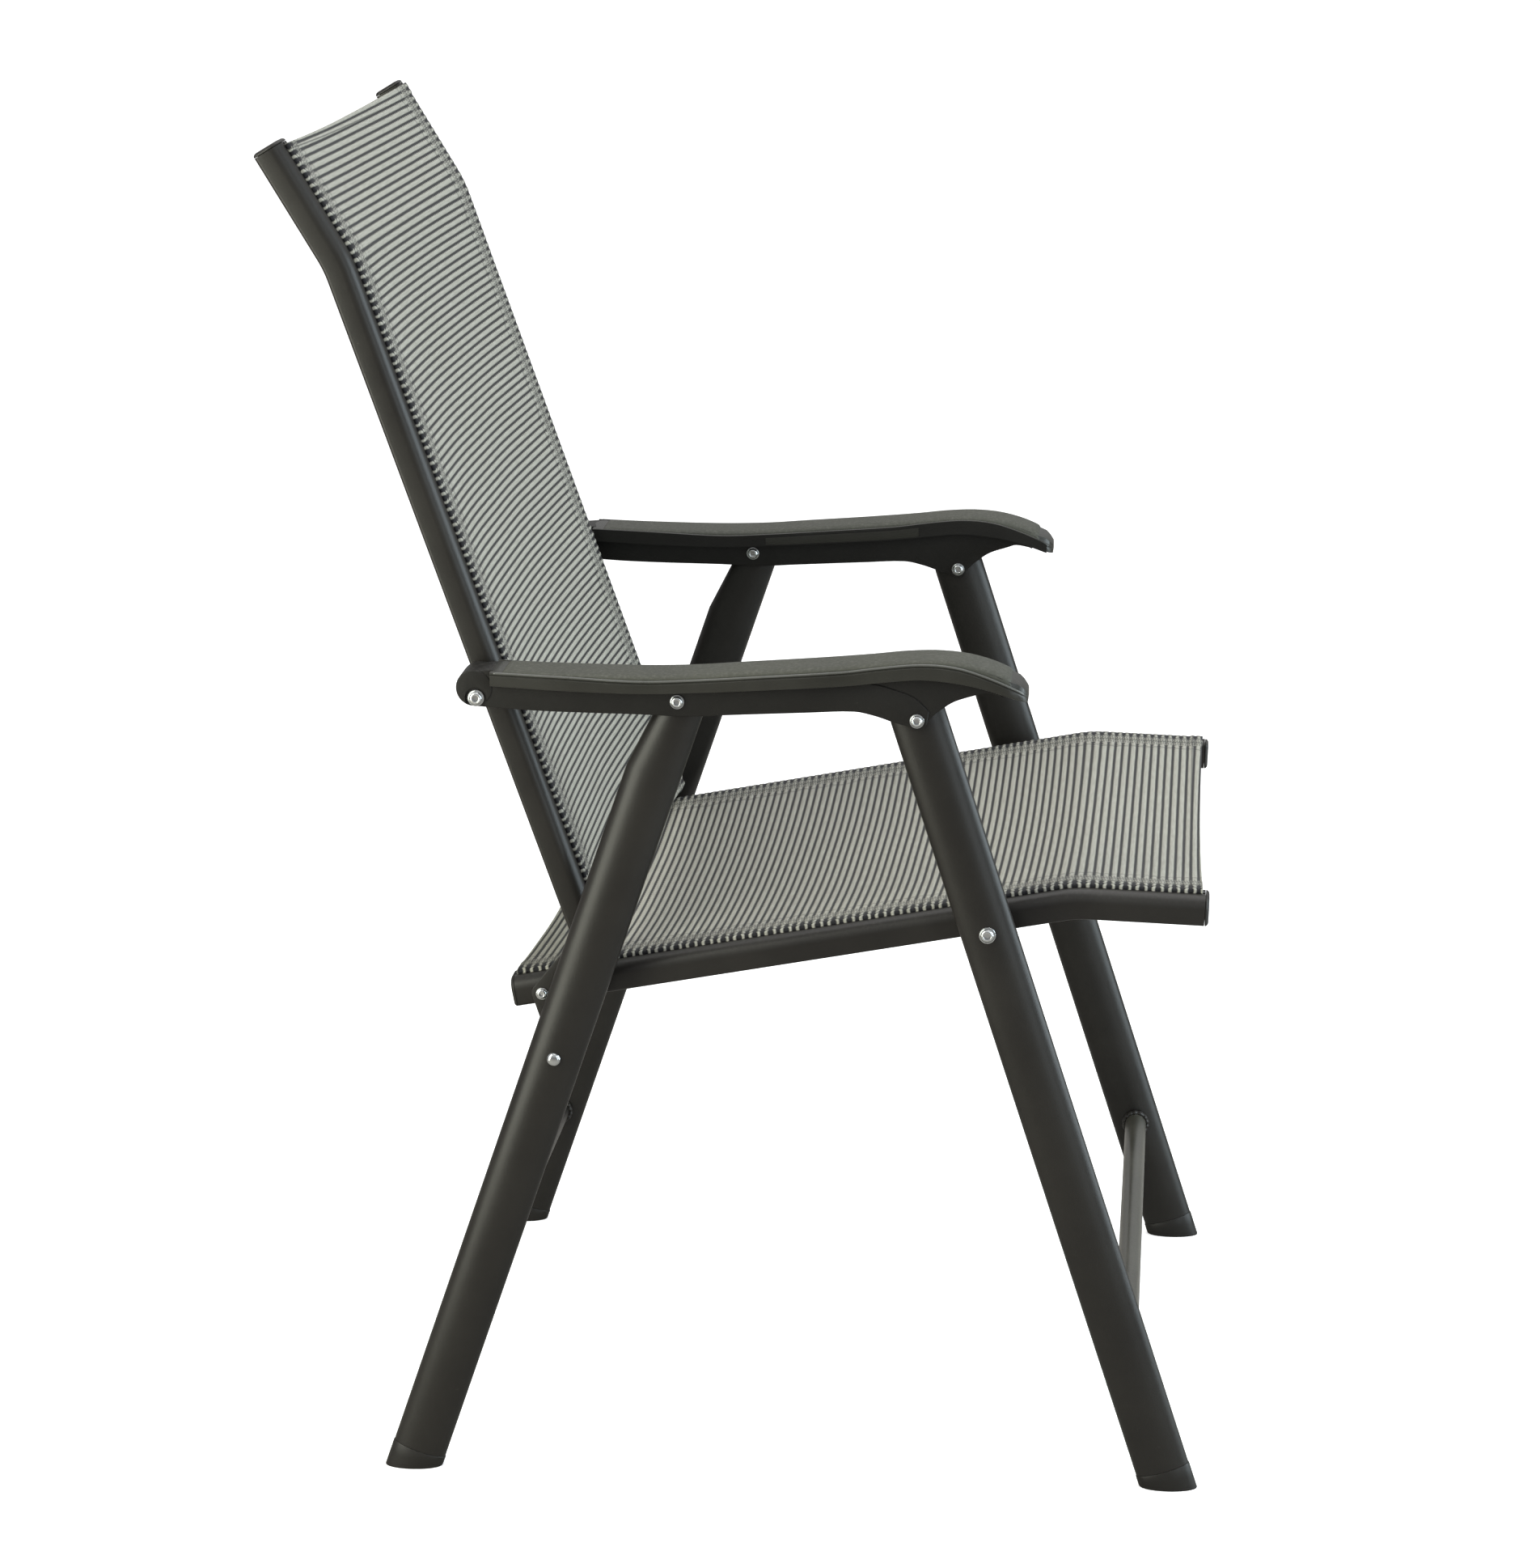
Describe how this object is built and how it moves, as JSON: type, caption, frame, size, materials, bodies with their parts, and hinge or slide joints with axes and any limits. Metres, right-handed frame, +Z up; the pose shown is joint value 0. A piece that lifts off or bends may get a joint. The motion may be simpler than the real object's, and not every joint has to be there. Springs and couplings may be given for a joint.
{
  "type": "folding sling patio chair",
  "caption": "Folding armchair with ribbed sling seat and back, oval-tube legs and moulded armrests on a pivoting linkage.",
  "frame": {"origin": "on the floor, below the middle of the whole chair", "axes": "+Z up, the sitter faces -Y, +X towards the sitter's left"},
  "size_m": [0.568, 0.6572, 0.9554],
  "materials": {
    "frame_paint": "dark powder coat on aluminium, satin",
    "arm_plastic": "moulded, fine texture",
    "cap_plastic": "moulded, dull",
    "zinc": "bright zinc plate",
    "sling_cloth": "ribbed woven vinyl yarn"
  },
  "bodies": {
    "rear_legs": {"left_rear_leg": "frame_paint", "right_rear_leg": "frame_paint", "left_rear_foot": "cap_plastic", "right_rear_foot": "cap_plastic", "rear_stretcher": "frame_paint", "left_plate_rivet": "zinc", "right_plate_rivet": "zinc", "left_plate_spacer": "cap_plastic", "right_plate_spacer": "cap_plastic"},
    "arms": {"left_armrest": "arm_plastic", "right_armrest": "arm_plastic", "left_back_arm_bolt": "zinc", "right_back_arm_bolt": "zinc", "left_back_arm_spacer": "cap_plastic", "right_back_arm_spacer": "cap_plastic", "left_rear_arm_bolt": "zinc", "right_rear_arm_bolt": "zinc", "left_rear_arm_nut": "zinc", "right_rear_arm_nut": "zinc", "left_front_arm_bolt": "zinc", "right_front_arm_bolt": "zinc", "left_front_arm_nut": "zinc", "right_front_arm_nut": "zinc"},
    "front_legs": {"left_front_leg": "frame_paint", "right_front_leg": "frame_paint", "left_front_foot": "cap_plastic", "right_front_foot": "cap_plastic", "front_stretcher": "frame_paint", "left_seat_leg_bolt": "zinc", "right_seat_leg_bolt": "zinc", "left_seat_leg_spacer": "cap_plastic", "right_seat_leg_spacer": "cap_plastic"},
    "hinge_plates": {"left_hinge_plate": "frame_paint", "right_hinge_plate": "frame_paint"},
    "seat": {"left_seat_rail": "frame_paint", "right_seat_rail": "frame_paint", "left_seat_rear_plug": "cap_plastic", "right_seat_rear_plug": "cap_plastic", "left_seat_front_plug": "cap_plastic", "right_seat_front_plug": "cap_plastic", "seat_rear_crossbar": "frame_paint", "seat_front_crossbar": "frame_paint", "seat_sling": "sling_cloth", "left_seat_plate_bolt": "zinc", "right_seat_plate_bolt": "zinc", "left_seat_cap_nut": "zinc", "right_seat_cap_nut": "zinc"},
    "back": {"left_back_rail": "frame_paint", "right_back_rail": "frame_paint", "left_back_top_plug": "cap_plastic", "right_back_top_plug": "cap_plastic", "left_back_bottom_plug": "cap_plastic", "right_back_bottom_plug": "cap_plastic", "back_lower_crossbar": "frame_paint", "back_upper_crossbar": "frame_paint", "back_sling": "sling_cloth", "left_back_plate_bolt": "zinc", "right_back_plate_bolt": "zinc", "left_back_cap_nut": "zinc", "right_back_cap_nut": "zinc"}
  },
  "joints": [
    {"name": "arms_fold", "type": "hinge", "parent": "rear_legs", "child": "arms", "pos_m": [0, 0.03835, 0.5761], "axis": [-1, 0, 0], "range_deg": [0, 61.21]},
    {"name": "front_legs_fold", "type": "hinge", "parent": "arms", "child": "front_legs", "pos_m": [0, -0.12684, 0.5647], "axis": [-1, 0, 0], "range_deg": [-95.34, 0]},
    {"name": "hinge_plates_fold", "type": "hinge", "parent": "rear_legs", "child": "hinge_plates", "pos_m": [0, 0.13054, 0.3146], "axis": [-1, 0, 0], "range_deg": [0, 134.86]},
    {"name": "seat_fold", "type": "hinge", "parent": "hinge_plates", "child": "seat", "pos_m": [0, 0.14228, 0.35402], "axis": [-1, 0, 0], "range_deg": [-83.98, 0]},
    {"name": "back_fold", "type": "hinge", "parent": "hinge_plates", "child": "back", "pos_m": [0, 0.1121, 0.38873], "axis": [-1, 0, 0], "range_deg": [-180.92, 0]}
  ],
  "couplings": [
    {"joint": "front_legs_fold", "follows": "arms_fold", "ratio": -1.5559},
    {"joint": "hinge_plates_fold", "follows": "arms_fold", "ratio": 2.2016},
    {"joint": "seat_fold", "follows": "arms_fold", "ratio": -1.3703},
    {"joint": "back_fold", "follows": "arms_fold", "ratio": -2.9541}
  ]
}
